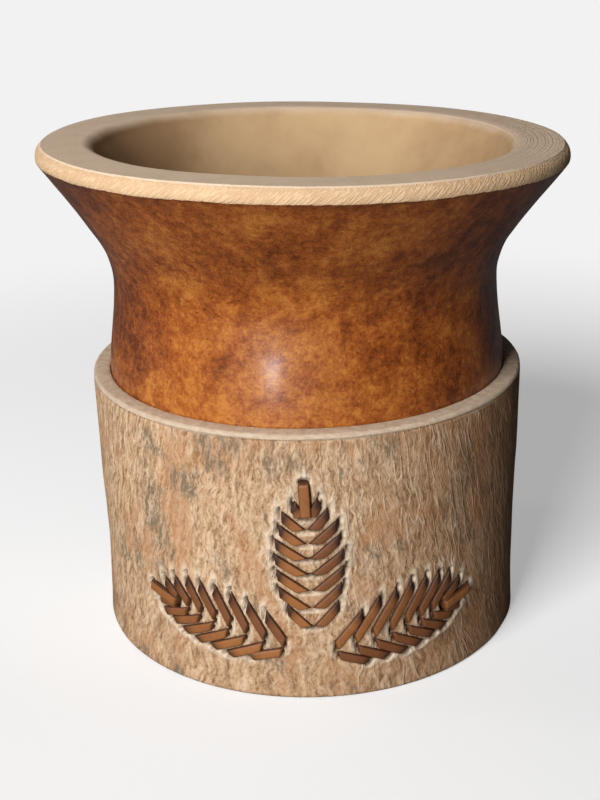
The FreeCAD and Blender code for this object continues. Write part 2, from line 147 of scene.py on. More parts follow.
class Recipe:
    """A material or world under construction, with one way to add any node."""

    def __init__(self, owner: bpy.types.Material | bpy.types.World) -> None:
        """Empties the owner's nodes.

        Args:
            owner: The material or world that the nodes belong to.
        """
        self.owner = owner
        owner.use_nodes = True
        self.tree = owner.node_tree
        self.tree.nodes.clear()

    @classmethod
    def material(cls, name: str) -> "Recipe":
        """Starts a material of this name."""
        return cls(bpy.data.materials.new(name))

    def node(
        self, kind: str, settings: dict | None = None, sockets: dict | None = None, out: int | str = 0
    ) -> Wire:
        """Adds a node, sets it up and gives one of its outputs.

        Args:
            kind: The node's type.
            settings: Its own settings. "stops" holds a colour ramp's stops.
            sockets: Values or wires for its inputs, by name or number.
            out: The output that is wanted.

        Returns:
            That output.
        """
        node = self.tree.nodes.new(kind)
        for key, value in (settings or {}).items():
            if key == "stops":
                self._set_stops(node, value)
            else:
                setattr(node, key, value)
        for key, value in (sockets or {}).items():
            if isinstance(value, Wire):
                self.tree.links.new(value.socket, node.inputs[key])
            else:
                node.inputs[key].default_value = value
        return Wire(self, node.outputs[out] if node.outputs else None)

    @staticmethod
    def _set_stops(node: bpy.types.Node, stops: tuple[tuple[float, Colour], ...]) -> None:
        """Gives a colour ramp its stops.

        Args:
            node: The colour ramp.
            stops: Each place on the ramp with its colour.
        """
        elements = node.color_ramp.elements
        while len(elements) < len(stops):
            elements.new(1.0)
        for element, (place, colour) in zip(elements, stops):
            element.position = place
            element.color = (*colour, 1.0)

    def place(self) -> Wire:
        """The surface's own place, in metres."""
        return self.node("ShaderNodeTexCoord", out="Object")

    def part(self, vector: Wire, axis: str) -> Wire:
        """One axis of a vector."""
        return self.node("ShaderNodeSeparateXYZ", sockets={0: vector}, out=axis)

    def attribute(self, name: str) -> Wire:
        """A number that the mesh carries at each corner."""
        return self.node("ShaderNodeAttribute", {"attribute_name": name}, out="Fac")

    def stretched(self, vector: Wire, scale: Colour, twist: float = 0.0) -> Wire:
        """Stretches a pattern, and winds it round the axis as it climbs.

        Args:
            vector: The place.
            scale: How much denser the pattern is along each axis.
            twist: Radians for each metre of height.

        Returns:
            The place to read the pattern at.
        """
        if twist:
            vector = self.turned(vector, self.part(vector, "Z") * twist)
        return self.node("ShaderNodeMapping", {}, {"Vector": vector, "Scale": scale})

    def clouds(
        self, vector: Wire, size: float, detail: float = 3.0, rough: float = 0.5, warp: float = 0.0
    ) -> Wire:
        """Cloudy noise whose features are about this many millimetres across, from 0 to 1."""
        sockets = {"Vector": vector, "Scale": 1.0 / (size * MM), "Detail": detail, "Roughness": rough}
        return self.node("ShaderNodeTexNoise", {}, {**sockets, "Distortion": warp})

    def spots(self, vector: Wire, size: float) -> Wire:
        """Distance to the nearest of many scattered points, about this many millimetres apart."""
        return self.node("ShaderNodeTexVoronoi", {}, {"Vector": vector, "Scale": 1.0 / (size * MM)})

    def turned(self, vector: Wire, angle: Wire) -> Wire:
        """Turns a place round the cup's axis."""
        settings = {"rotation_type": "Z_AXIS"}
        return self.node("ShaderNodeVectorRotate", settings, {"Vector": vector, "Angle": angle})

    def blend(self, share: Wire | float, low: Wire | Colour, high: Wire | Colour) -> Wire:
        """Mixes two colours by the share of the second."""
        colours = [c if isinstance(c, Wire) else (*c, 1.0) for c in (low, high)]
        return self.node(
            "ShaderNodeMix", {"data_type": "RGBA"}, {0: share, 6: colours[0], 7: colours[1]}, out=2
        )

    def shades(self, tone: Wire, *stops: tuple[float, Colour]) -> Wire:
        """Gives a colour for each tone, through these stops."""
        return self.node("ShaderNodeValToRGB", {"stops": stops}, {"Fac": tone})

    def bump(self, height: Wire, distance: float) -> Wire:
        """Turns a height from 0 to 1 into a normal, at this many millimetres of relief."""
        return self.node("ShaderNodeBump", {}, {"Height": height, "Distance": distance * MM})

    def finish(self, **sockets: "Wire | float | Colour") -> bpy.types.Material:
        """Closes the material with a Principled shader.

        Args:
            sockets: The shader's inputs, with underscores for spaces.

        Returns:
            The material.
        """
        named = {key.replace("_", " "): value for key, value in sockets.items()}
        shader = self.node("ShaderNodeBsdfPrincipled", {}, named)
        self.node("ShaderNodeOutputMaterial", {}, {"Surface": shader})
        return self.owner


@dataclass(frozen=True)
class GourdFinish:
    """Varnished mottled shell, with a raw cream band, a sanded grey lip and a tan inside."""

    golden: Colour = (0.46, 0.168, 0.030)
    russet: Colour = (0.285, 0.072, 0.011)
    umber: Colour = (0.108, 0.022, 0.003)
    speck: Colour = (0.050, 0.014, 0.005)
    cream: Colour = (0.70, 0.48, 0.29)
    cream_groove: Colour = (0.50, 0.31, 0.165)
    sawn: Colour = (0.71, 0.54, 0.39)
    sawn_groove: Colour = (0.50, 0.36, 0.25)
    tan: Colour = (0.53, 0.355, 0.19)
    tan_deep: Colour = (0.37, 0.225, 0.115)
    band: float = 2.75
    lip: float = 9.4
    coat: float = 0.45
    relief: float = 0.16

    def material(self) -> bpy.types.Material:
        """Mixes the four finishes by how far a place is along the gourd's profile."""
        r = Recipe.material("varnished_gourd")
        place = r.place()
        trail = r.attribute("trail")
        wobble = r.clouds(place, 9.0, 3.0, 0.6) - 0.5
        edge = trail + wobble * 0.9 + (r.clouds(place, 0.9, 3.0, 0.6) - 0.5) * 0.5
        raw = edge.ramp(-0.06, 0.06)
        arris = trail + (r.clouds(place, 1.5, 2.0) - 0.5) * 0.25
        flat = arris.ramp(self.band - 0.1, self.band + 0.12)
        mouth = self.band + self.lip
        inner = (trail + wobble * 2.0).ramp(mouth - 1.3, mouth + 1.5)
        skin = self._skin(r, place, trail)
        band, band_relief = self._band(r, place)
        top, top_relief = self._top(r, place)
        inside = self._inside(r, place)
        colour = r.blend(raw, skin, band)
        colour = r.blend(flat, colour, top)
        colour = r.blend(inner, colour, inside)
        grain = r.clouds(place, 0.42, 4.0, 0.62)
        scratches = r.clouds(r.stretched(place, (0.35, 0.35, 6.0)), 2.2, 3.0, 0.55)
        skin_relief = grain * 0.65 + scratches * 0.16
        relief = skin_relief * (1.0 - raw) + band_relief * raw * (1.0 - flat)
        relief = relief + top_relief * flat * (1.0 - inner) + grain * inner * 0.25
        gloss = 0.34 + (r.clouds(place, 3.0, 4.0, 0.6) - 0.5) * 0.22
        return r.finish(
            Base_Color=colour,
            Roughness=gloss * (1.0 - raw) + raw * 0.72,
            Coat_Weight=(1.0 - raw) * self.coat,
            Coat_Roughness=0.19,
            Specular_IOR_Level=0.22,
            Normal=r.bump(relief, self.relief),
        )

    def _skin(self, r: Recipe, place: Wire, trail: Wire) -> Wire:
        """Paints the varnished skin: russet blotches, painted light that turns it golden low on the left, and
        painted shade that darkens it on the right, most of all up high.

        Args:
            r: The recipe.
            place: The surface's own place.
            trail: How far a place is along the gourd's profile from the skin's edge.

        Returns:
            The colour.
        """
        broad = r.clouds(place, 24.0, 3.0, 0.55, 0.6)
        patch = r.clouds(place, 4.5, 4.0, 0.6, 0.5)
        mottle = r.clouds(place, 1.4, 4.0, 0.7, 0.3)
        fine = r.clouds(place, 0.5, 4.0, 0.7)
        across = r.part(place, "X")
        height = r.part(place, "Z")
        # Painted shade: the skin darkens towards the right, away from the key lamp, more so up high.
        shade_to_right = across.ramp(12.0 * MM, 42.0 * MM)
        upward = height.ramp(54.0 * MM, 90.0 * MM)
        # Painted light: the skin turns lighter and more golden low on the left, where the lamps fall.
        painted_light_low_left = height.ramp(68.0 * MM, 52.0 * MM) * across.ramp(25.0 * MM, -20.0 * MM)
        tone = broad * 0.9 + patch * 0.6 + mottle * 0.8 + fine * 0.5
        tone = tone + shade_to_right * (0.08 + upward * 0.14) + upward * 0.05 - painted_light_low_left * 0.08
        colour = r.shades((tone - 1.13) * 2.0, (0.0, self.golden), (0.5, self.russet), (1.0, self.umber))
        speckle = r.spots(place, 1.5).ramp(0.2, 0.06) * r.clouds(place, 6.0, 2.0).ramp(0.48, 0.62)
        streak = r.clouds(r.stretched(place, (0.5, 0.5, 9.0)), 4.5, 3.0, 0.6).ramp(0.6, 0.72)
        colour = r.blend(speckle * 0.75, colour, self.speck)
        colour = r.blend(streak * 0.2, colour, self.golden)
        rim_dark = trail.ramp(-0.5, -0.1) * 0.45 + trail.ramp(-4.0, -0.3) * 0.14
        return r.blend(rim_dark, colour, self.umber)

    def _band(self, r: Recipe, place: Wire) -> tuple[Wire, Wire]:
        """Paints the raw cut band, with fine slanting saw marks.

        Args:
            r: The recipe.
            place: The surface's own place.

        Returns:
            The colour and the relief.
        """
        marks = r.clouds(r.stretched(place, (1.0, 1.0, 0.3), -24.0), 0.42, 2.0, 0.5)
        broad = r.clouds(place, 5.0, 3.0)
        cut = marks.ramp(0.36, 0.64)
        pores = r.clouds(place, 0.5, 3.0, 0.6).ramp(0.66, 0.74)
        colour = r.blend(cut * 0.55 + 0.45, self.cream_groove, self.cream)
        colour = r.blend(pores * 0.5, colour, self.cream_groove)
        return r.blend(broad.ramp(0.4, 0.7) * 0.3, colour, self.cream_groove), cut * 0.4

    def _top(self, r: Recipe, place: Wire) -> tuple[Wire, Wire]:
        """Paints the sanded lip: a fine even grain, and faint rings round the axis on one side.

        Args:
            r: The recipe.
            place: The surface's own place.

        Returns:
            The colour and the relief.
        """
        flat = r.node("ShaderNodeMapping", {}, {"Vector": place, "Scale": (1.0, 1.0, 0.0)})
        radius = r.node("ShaderNodeVectorMath", {"operation": "LENGTH"}, {0: flat}, out="Value")
        drift = r.clouds(place, 11.0, 2.0) * 0.9
        line = r.node("ShaderNodeCombineXYZ", {}, {0: radius * (1.0 / MM) + drift})
        rings = r.node("ShaderNodeTexNoise", {}, {"Vector": line, "Scale": 2.3, "Detail": 3.0})
        side = r.part(place, "X").ramp(-5.0 * MM, 45.0 * MM)
        groove = rings.ramp(0.42, 0.6) * side
        grit = r.clouds(place, 0.32, 3.0, 0.65)
        blotch = r.clouds(place, 5.0, 4.0, 0.6)
        colour = r.blend(groove * 0.4 + grit.ramp(0.45, 0.7) * 0.4, self.sawn, self.sawn_groove)
        colour = r.blend(blotch.ramp(0.45, 0.75) * 0.3, colour, self.sawn_groove)
        return colour, groove * 0.4 + grit * 0.55

    def _inside(self, r: Recipe, place: Wire) -> Wire:
        """Paints the scraped inside, with painted shade darkening it on the left.

        Args:
            r: The recipe.
            place: The surface's own place.

        Returns:
            The colour.
        """
        broad = r.clouds(place, 22.0, 2.0, 0.45, 0.3)
        fine = r.clouds(place, 3.0, 3.0, 0.55)
        # Painted shade: the inside is darker towards the left, the side the key lamp doesn't reach.
        shade_to_left = r.part(place, "X").ramp(0.0, -30.0 * MM)
        clean = (broad * 0.85 + fine * 0.2 - shade_to_left * 0.12).ramp(0.3, 0.68)
        return r.blend(clean, self.tan_deep, self.tan)


@dataclass(frozen=True)
class HideFinish:
    """Raw cowhide: beige, with pale raised wrinkles, slanting hair, orange and smoky patches."""

    pale: Colour = (0.65, 0.46, 0.30)
    beige: Colour = (0.445, 0.278, 0.155)
    brown: Colour = (0.215, 0.115, 0.057)
    orange: Colour = (0.43, 0.195, 0.083)
    smoke: Colour = (0.165, 0.132, 0.088)
    # Painted shade: a deep brown that darkens the hide towards the right, and a little towards the bottom.
    shading_brown: Colour = (0.20, 0.085, 0.03)
    edge: Colour = (0.36, 0.25, 0.165)
    lip: Colour = (0.82, 0.68, 0.52)
    # Painted shade: a near black for the slits, the lines round the lace and the crease under the top edge.
    painted_shade: Colour = (0.025, 0.013, 0.007)
    upright_height: float = 26.0
    lean: float = 210.0
    wave: float = 0.05
    relief: float = 0.34

    def material(self) -> bpy.types.Material:
        """Layers the grain and patches, then the stretched lips, the burnished edge with its painted
        highlight, and the painted shade of the slits.
        """
        r = Recipe.material("raw_cowhide")
        place = r.place()
        worn_and_highlit = r.attribute("worn_and_highlit")
        lip = r.attribute("lip")
        painted_shade = r.attribute("painted_shade")
        leaning = self._leaning(r, place)
        ridge = self._ridges(r, leaning)
        tone, grain = self._grain(r, place, leaning)
        right = r.part(place, "X").ramp(0.0, 38.0 * MM)
        low = r.part(place, "Z").ramp(24.0 * MM, 2.0 * MM)
        colour = self._patches(r, place, tone)
        colour = r.blend(ridge * (0.15 + right * 0.3), colour, self.lip)
        # Painted shade browns the hide towards the right; it also darkens it a little towards the bottom.
        colour = r.blend(right * 0.55 + low * 0.1, colour, self.shading_brown)
        colour = r.blend(lip * (0.55 + tone * 0.6), colour, self.lip)
        # The top edge is burnished and also carries a painted highlight: its colour is mixed towards the pale
        # lip colour.
        rubbed = r.clouds(r.stretched(place, (1.0, 1.0, 4.0)), 1.5, 4.0, 0.7).ramp(0.42, 0.6)
        burnish_and_highlight = r.blend(0.24 + rubbed * 0.2, self.edge, self.lip)
        colour = r.blend(worn_and_highlit, colour, burnish_and_highlight)
        # Painted shade: the slits, the lines round the lace and the crease go near black.
        colour = r.blend(painted_shade, colour, self.painted_shade)
        return r.finish(
            Base_Color=colour,
            Roughness=0.82 - worn_and_highlit * 0.25,
            Specular_IOR_Level=0.2,
            Normal=r.bump((grain + ridge * 0.3) * (1.0 - worn_and_highlit * 0.7), self.relief),
        )

    def _leaning(self, r: Recipe, place: Wire) -> Wire:
        """Leans the grain outwards as it climbs, more so towards the sides."""
        above = r.part(place, "Z") - self.upright_height * MM
        return r.turned(place, r.part(place, "X") * above * self.lean)

    def _grain(self, r: Recipe, place: Wire, leaning: Wire) -> tuple[Wire, Wire]:
        """Makes the wavy strokes and the pebbles between them.

        Args:
            r: The recipe.
            place: The surface's own place.
            leaning: The same place with the grain's lean.

        Returns:
            How pale the hide is, and how high.
        """
        wave = r.clouds(r.stretched(place, (0.4, 0.4, 1.0)), 2.6, 1.0)
        waving = r.turned(leaning, wave * self.wave)
        streaks = r.clouds(r.stretched(waving, (1.0, 1.0, 0.24)), 0.95, 2.0, 0.55, 0.5)
        strokes = r.clouds(r.stretched(waving, (1.0, 1.0, 0.42)), 0.5, 2.5, 0.6, 0.3)
        pebbles = r.clouds(place, 0.5, 3.0, 0.6)
        tone = streaks * 0.42 + strokes * 0.38 + pebbles * 0.2
        return tone, streaks * 0.7 + strokes * 0.45 + pebbles * 0.3

    def _patches(self, r: Recipe, place: Wire, tone: Wire) -> Wire:
        """Colours the hide by its tone, with orange patches and smoky ones that cling to the dark.

        Args:
            r: The recipe.
            place: The surface's own place.
            tone: How pale the hide is.

        Returns:
            The colour.
        """
        colour = r.shades(tone, (0.38, self.brown), (0.48, self.beige), (0.60, self.pale))
        patch = r.clouds(r.stretched(place, (1.0, 1.0, 0.6)), 10.0, 3.0, 0.6, 0.5)
        smoke = r.clouds(r.stretched(place, (1.0, 1.0, 0.7), 4.0), 10.0, 4.0, 0.6, 0.4)
        colour = r.blend(patch.ramp(0.46, 0.62) * 0.5, colour, self.orange)
        dark = tone.ramp(0.58, 0.42)
        return r.blend(smoke.ramp(0.52, 0.64) * (0.25 + dark * 0.65), colour, self.smoke)

    def _ridges(self, r: Recipe, leaning: Wire) -> Wire:
        """Gives thin pale ridges that run mostly upright, broken into lengths.

        Args:
            r: The recipe.
            leaning: The surface's place with the grain's lean.

        Returns:
            How much of a ridge each place is.
        """
        bent = r.stretched(leaning, (1.0, 1.0, 0.18), 1.5)
        middle = r.clouds(bent, 3.0, 2.0, 0.5, 0.3) - 0.5
        ridge = r.node("ShaderNodeMath", {"operation": "ABSOLUTE"}, {0: middle})
        broken = r.clouds(r.stretched(leaning, (1.0, 1.0, 0.5)), 2.2, 3.0, 0.65).ramp(0.36, 0.58)
        return ridge.ramp(0.04, 0.0) * broken


@dataclass(frozen=True)
class LaceFinish:
    """Waxed brown lace, darker along its edges, with painted shade turning it nearly black where it enters
    the hide.
    """

    warm: Colour = (0.31, 0.115, 0.030)
    dull: Colour = (0.17, 0.060, 0.019)
    edge: Colour = (0.045, 0.014, 0.005)

    def material(self) -> bpy.types.Material:
        """Mixes the tone of each strip, darkens its edges and paints shade on its ends."""
        r = Recipe.material("waxed_lace")
        place = r.place()
        across = r.attribute("across")
        tuck = r.attribute("tuck")
        tone = r.attribute("tone")
        cloud = r.clouds(place, 1.8, 4.0, 0.6)
        grain = r.clouds(place, 0.35, 4.0, 0.7)
        colour = r.blend((tone * 0.7 + cloud * 0.5).ramp(0.25, 0.85), self.warm, self.dull)
        colour = r.blend(grain.ramp(0.55, 0.75) * 0.35, colour, self.edge)
        rim = (across + (cloud - 0.5) * 0.12).ramp(0.72, 0.97)
        colour = r.blend(rim * 0.85, colour, self.edge)
        # Painted shade: the tuck layer turns the ends near black where the hide shades them.
        colour = r.blend(tuck, colour, self.edge)
        return r.finish(
            Base_Color=colour,
            Roughness=0.5 + (cloud - 0.5) * 0.2,
            Specular_IOR_Level=0.4,
            Normal=r.bump(grain * 0.6 + cloud * 0.4, 0.1),
        )


# ---- Mesh building ----


def finish_piece(name: str, bm: bmesh.types.BMesh, material: bpy.types.Material) -> bpy.types.Object:
    """Scales a mesh to metres and makes it a smooth-shaded piece.

    Args:
        name: The piece's name.
        bm: The mesh in millimetres, which is freed.
        material: Its finish.

    Returns:
        The new object, which is linked and lies at the origin.
    """
    bmesh.ops.scale(bm, vec=(MM, MM, MM), verts=bm.verts)
    mesh = bpy.data.meshes.new(name)
    bm.to_mesh(mesh)
    bm.free()
    mesh.shade_smooth()
    mesh.materials.append(material)
    piece = bpy.data.objects.new(name, mesh)
    bpy.context.scene.collection.objects.link(piece)
    return piece


def join_frame(piece: bpy.types.Object, slot: str, *nodes: str) -> None:
    """Ties a piece to the frame and reports it.

    Args:
        piece: The piece.
        slot: Not used.
        nodes: The CAD nodes that it stands for.
    """
    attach(piece, "root")
    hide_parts(*nodes)
    log.info("%s: %d faces for %s", piece.name, len(piece.data.polygons), ", ".join(nodes))


def coordinates(bm: bmesh.types.BMesh) -> np.ndarray:
    """Reads a mesh's vertices as rows of x, y and z."""
    return np.array([v.co for v in bm.verts])


def move_to(bm: bmesh.types.BMesh, places: np.ndarray) -> None:
    """Moves a mesh's vertices to new places, in the same order."""
    for vertex, place in zip(bm.verts, places):
        vertex.co = place


def write_layer(bm: bmesh.types.BMesh, name: str, values: np.ndarray) -> None:
    """Stores a number for each vertex under a name that a material reads.

    Args:
        bm: The mesh.
        name: The name.
        values: One number for each vertex.
    """
    layer = bm.verts.layers.float.get(name) or bm.verts.layers.float.new(name)
    for vertex, value in zip(bm.verts, values):
        vertex[layer] = float(value)


def arc_through(start: Point, end: Point, bulge: float, count: int) -> list[Point]:
    """Points on the arc between two places that stands out by bulge to the right of the way.

    Args:
        start: The first place.
        end: The last place.
        bulge: How far the arc's middle stands out from the straight line.
        count: How many points are made, without the last place.

    Returns:
        The points, from start.
    """
    span = math.dist(start, end)
    along = ((end[0] - start[0]) / span, (end[1] - start[1]) / span)
    radius = (span**2 / 4 + bulge**2) / (2 * abs(bulge))
    half = math.asin(min(1.0, span / 2 / radius))
    points = []
    for step in range(count):
        angle = half * (2 * step / count - 1)
        forward = span / 2 + radius * math.sin(angle)
        out = math.copysign(radius * (math.cos(angle) - math.cos(half)), bulge)
        points.append(
            (start[0] + along[0] * forward + along[1] * out, start[1] + along[1] * forward - along[0] * out)
        )
    return points


def straight(start: Point, end: Point, count: int) -> list[Point]:
    """Evenly spaced points from start towards end, without the end."""
    return [
        (start[0] + (end[0] - start[0]) * step / count, start[1] + (end[1] - start[1]) * step / count)
        for step in range(count)
    ]


def spin_outline(outline: list[Point], steps: int, closed: bool) -> bmesh.types.BMesh:
    """Turns an outline of radius and height once round the axis.

    Args:
        outline: The outline's points, outside face on the way up.
        steps: How many faces go round.
        closed: Whether the last point joins the first. If not, both lie on the axis.

    Returns:
        The closed mesh, with its normals outward.
    """
    bm = bmesh.new()
    rank = bm.verts.layers.float.new("rank")
    chain = [bm.verts.new((radius, 0.0, height)) for radius, height in outline]
    for index, vertex in enumerate(chain):
        vertex[rank] = float(index)
    pairs = list(zip(chain, chain[1:]))
    if closed:
        pairs.append((chain[-1], chain[0]))
    edges = [bm.edges.new(pair) for pair in pairs]
    bmesh.ops.spin(
        bm, geom=chain + edges, cent=(0, 0, 0), axis=(0, 0, 1), angle=2 * math.pi, steps=steps, use_merge=True
    )
    bmesh.ops.remove_doubles(bm, verts=bm.verts, dist=1e-5)
    bmesh.ops.recalc_face_normals(bm, faces=bm.faces)
    return bm


def ranks(bm: bmesh.types.BMesh) -> np.ndarray:
    """Reads which point of the outline each vertex of a spun mesh came from."""
    rank = bm.verts.layers.float["rank"]
    return np.rint([v[rank] for v in bm.verts]).astype(int)


# ---- The gourd ----


@dataclass
class GourdShell:
    """The gourd: belly in the sleeve, drawn-in waist, wide flare and flat sawn lip."""

    finish: GourdFinish = field(default_factory=GourdFinish)
    waist_radius: float = 36.7
    waist_height: float = 69.5
    belly_height: float = 55.0
    heel_radius: float = 21.0
    bend_out: float = 2.87
    bend_rise: float = 9.46
    band: float = 2.7
    band_bulge: float = 0.45
    lip_lean: float = 1.0
    arris: float = 0.12
    rim_width: float = 9.5
    mouth_round: float = 1.9
    throat_radius: float = 30.5
    cavity_radius: float = 32.5
    cavity_top: float = 50.0
    cavity_heel: float = 18.0
    floor_height: float = 9.5
    oval: float = 0.0042
    lean_right: float = -0.018
    lean_back: float = -0.014
    steps: int = 256

    def outline(self) -> tuple[list[Point], int]:
        """Draws the profile from the middle of the bottom, up the outside and down the inside.

        Returns:
            The points, and the place of the skin's upper edge among them.
        """
        low, high = mm_box("gourd")
        belly = mm_box("base_disc")[1].x
        seat, top = low.z, high.z
        shoulder = (belly, self.belly_height - 4.0)
        waist = (self.waist_radius, self.waist_height)
        bend_end = (self.waist_radius + self.bend_out, self.waist_height + self.bend_rise)
        lip = (high.x + 0.03, top - self.band)
        edge = (lip[0] - self.lip_lean, top - self.arris)
        flat = (edge[0] - 0.22, top)
        mouth = (edge[0] - self.rim_width + self.mouth_round, top)
        turned = (mouth[0] - 1.25 * self.mouth_round, top - self.mouth_round)
        heel = (belly - self.heel_radius, seat)
        points = straight((0.0, seat), heel, 6)
        points += arc_through(heel, (belly, seat + self.heel_radius), QUARTER_BULGE * self.heel_radius, 12)
        points += straight((belly, seat + self.heel_radius), shoulder, 8)
        points += self._s_bend(shoulder, waist, 26)
        points += arc_through(waist, bend_end, -0.72, 20)
        points += arc_through(bend_end, (lip[0] - self.arris, lip[1] - self.arris), -0.12, 34)
        skin_edge = len(points)
        points += [(lip[0] - 0.02, lip[1] - 0.02)]
        points += arc_through(lip, edge, self.band_bulge, 9)
        points += arc_through(edge, flat, 0.06, 3)
        points += straight(flat, mouth, 20)
        points += arc_through(mouth, turned, 0.23 * self.mouth_round, 8)
        points += self._inside(turned)
        return points, skin_edge

    @staticmethod
    def _s_bend(start: Point, end: Point, count: int) -> list[Point]:
        """Joins two upright stretches by a soft double bend, without the last place.

        Args:
            start: The first place.
            end: The last place.
            count: How many points are made.

        Returns:
            The points, from start.
        """
        shares = np.linspace(0.0, 1.0, count, endpoint=False)
        radii = start[0] + (end[0] - start[0]) * smooth_step(shares, 0.0, 1.0)
        heights = start[1] + (end[1] - start[1]) * shares
        return list(zip(radii.tolist(), heights.tolist()))

    def _inside(self, mouth: Point) -> list[Point]:
        """Draws the cavity from the mouth down to the middle of its floor.

        Args:
            mouth: Where the rounded mouth ends.

        Returns:
            The points, from the mouth.
        """
        throat = (self.throat_radius, self.waist_height)
        side = (self.cavity_radius, self.cavity_top)
        foot = (self.cavity_radius, self.floor_height + self.cavity_heel)
        floor = (self.cavity_radius - self.cavity_heel, self.floor_height)
        points = arc_through(mouth, throat, 1.9, 22)
        points += self._s_bend(throat, side, 10)
        points += straight(side, foot, 4)
        points += arc_through(foot, floor, -QUARTER_BULGE * self.cavity_heel, 10)
        points += straight(floor, (0.0, self.floor_height), 5)
        return points + [(0.0, self.floor_height)]

    def build(self) -> bpy.types.Object:
        """Spins the profile, makes it as uneven as a grown thing and dresses it."""
        outline, skin_edge = self.outline()
        bm = spin_outline(outline, self.steps, closed=False)
        order = ranks(bm)
        lengths = np.concatenate([[0.0], np.cumsum([math.dist(a, b) for a, b in zip(outline, outline[1:])])])
        write_layer(bm, "trail", (lengths - lengths[skin_edge])[order])
        self._grow(bm, order < skin_edge)
        piece = finish_piece("gourd_shell", bm, self.finish.material())
        join_frame(piece, "gourd_shell", "gourd")
        return piece

    def _grow(self, bm: bmesh.types.BMesh, skin: np.ndarray) -> None:
        """Makes the gourd slightly oval, leans and ripples its rim, and dimples its skin.

        Args:
            bm: The spun gourd.
            skin: Whether each vertex lies on the outside.
        """
        places = coordinates(bm)
        x, y, z = places.T
        radius = np.hypot(x, y)
        turn = np.arctan2(y, x)
        free = smooth_step(z, self.belly_height, self.waist_height + 6.0)
        flare = smooth_step(z, self.waist_height, 93.0)
        oval = self.oval * np.cos(2 * (turn - 2.3)) * flare
        dimple = rough_field(places, 17.0, 4.0) * 0.22 + rough_field(places, 5.0, 9.0, 2) * 0.05
        swell = oval * radius + dimple * free * np.where(skin, 1.0, 0.5)
        ripple = 0.16 * np.sin(3 * turn + 0.6) + 0.08 * np.sin(7 * turn + 2.0)
        lean = (self.lean_right * x + self.lean_back * y) * smooth_step(z, 72.0, 94.0)
        grow = np.divide(swell, radius, out=np.zeros_like(radius), where=radius > 1e-6)
        move_to(bm, np.column_stack((x * (1 + grow), y * (1 + grow), z + lean + ripple * flare * 0.5)))


# ---- The laced ears ----


class Side(Enum):
    """The two sides of a stem, with the sign of the way across."""

    LEFT = -1
    RIGHT = 1


@dataclass(frozen=True)
class Strip:
    """One visible run of lace on the unrolled sleeve.

    Each end is cut at a slant, which says how far the cut runs along the strip for each step across it.
    """

    node: str
    foot: Point
    tip: Point
    width: float
    tone: float
    lift: float = 0.0
    foot_slant: float = 0.0
    tip_slant: float = 0.0

    @property
    def length(self) -> float:
        """The run's length."""
        return math.dist(self.foot, self.tip)

    @property
    def along(self) -> Point:
        """The unit direction from foot to tip."""
        return ((self.tip[0] - self.foot[0]) / self.length, (self.tip[1] - self.foot[1]) / self.length)


@dataclass(frozen=True)
class Half:
    """One side of an ear: its share of the even half width, and how far a strip climbs the stem."""

    spread: float
    climb: float


@dataclass(frozen=True)
class WheatEar:
    """One ear: eight pairs of strips up a stem, and a spike over the top pair.

    The stem's foot lies at arc and height, and lean is in degrees from upright, to the right.
    """

    name: str
    number: int
    arc: float
    height: float
    lean: float
    left: Half
    right: Half
    pairs: int = 8
    first_gap: float = 3.72
    gap_loss: float = 0.2
    half_width: float = 6.5
    middle: float = 9.0
    spare: float = 1.15
    rise_loss: float = 0.12
    play: float = 0.2
    width: float = 1.66
    steepest_tip: float = 1.25
    spike_width: float = 1.9
    spike_drop: float = 0.1
    spike_length: float = 7.2
    spike_lift: float = 0.4
    spike_tone: float = 0.35

    def point(self, along: float, across: float) -> Point:
        """Places a point given along the stem from its foot, and across to its right."""
        sine, cosine = math.sin(math.radians(self.lean)), math.cos(math.radians(self.lean))
        return (self.arc + along * sine + across * cosine, self.height + along * cosine - across * sine)

    def stations(self) -> list[float]:
        """How far up the stem each pair starts."""
        gaps = [self.first_gap - self.gap_loss * step for step in range(self.pairs - 1)]
        return [sum(gaps[:pair]) for pair in range(self.pairs)]

    def strips(self) -> list[Strip]:
        """Lays out every strip of the ear, from the lowest pair up."""
        found = [self._arm(pair, side) for pair in range(self.pairs) for side in Side]
        foot = self.stations()[-1] - self.spike_drop
        found.append(
            Strip(
                node=f"ear_{self.name}_spike",
                foot=self.point(foot, 0.0),
                tip=self.point(foot + self.spike_length, 0.0),
                width=self.spike_width,
                tone=self.spike_tone,
                lift=self.spike_lift,
            )
        )
        return found

    def _arm(self, pair: int, side: Side) -> Strip:
        """Lays out one strip of a pair.

        Args:
            pair: The pair's number, 0 for the lowest.
            side: The side of the stem.

        Returns:
            The strip, whose foot lies on the stem and whose tip lies on the ear's oval outline.
        """
        half = self.left if side is Side.LEFT else self.right
        start = self.stations()[pair]
        oval = self.stations()[-1] + self.spare - self.middle
        key = 1 if side is Side.LEFT else 4
        across = half.spread * self.half_width * math.sqrt(1 - ((start - self.middle) / oval) ** 2)
        across += self.play * uneven(self.number, pair, key)
        rise = half.climb + self.rise_loss * ((self.pairs - 1) / 2 - pair)
        rise += self.play * uneven(pair, self.number, 2)
        reach = math.hypot(rise, across)
        half_foot = self.width / 2 * reach / rise
        half_tip = self.width / 2 * reach / across
        foot = self.point(start, side.value * half_foot * 0.8)
        tip = self.point(start + rise - half_tip * 0.6, side.value * across)
        steepness = 2.0 * abs(tip[1] - foot[1]) / reach
        return Strip(
            node=f"ear_{self.name}_{side.name.lower()}_{pair + 1}",
            foot=foot,
            tip=tip,
            width=self.width,
            tone=0.5 + 0.5 * uneven(pair + 3 * self.number, key, 1.3),
            foot_slant=side.value * (across - half_foot) / (rise - half_tip),
            tip_slant=math.copysign(min(self.steepest_tip, steepness), foot[0] - tip[0]),
        )


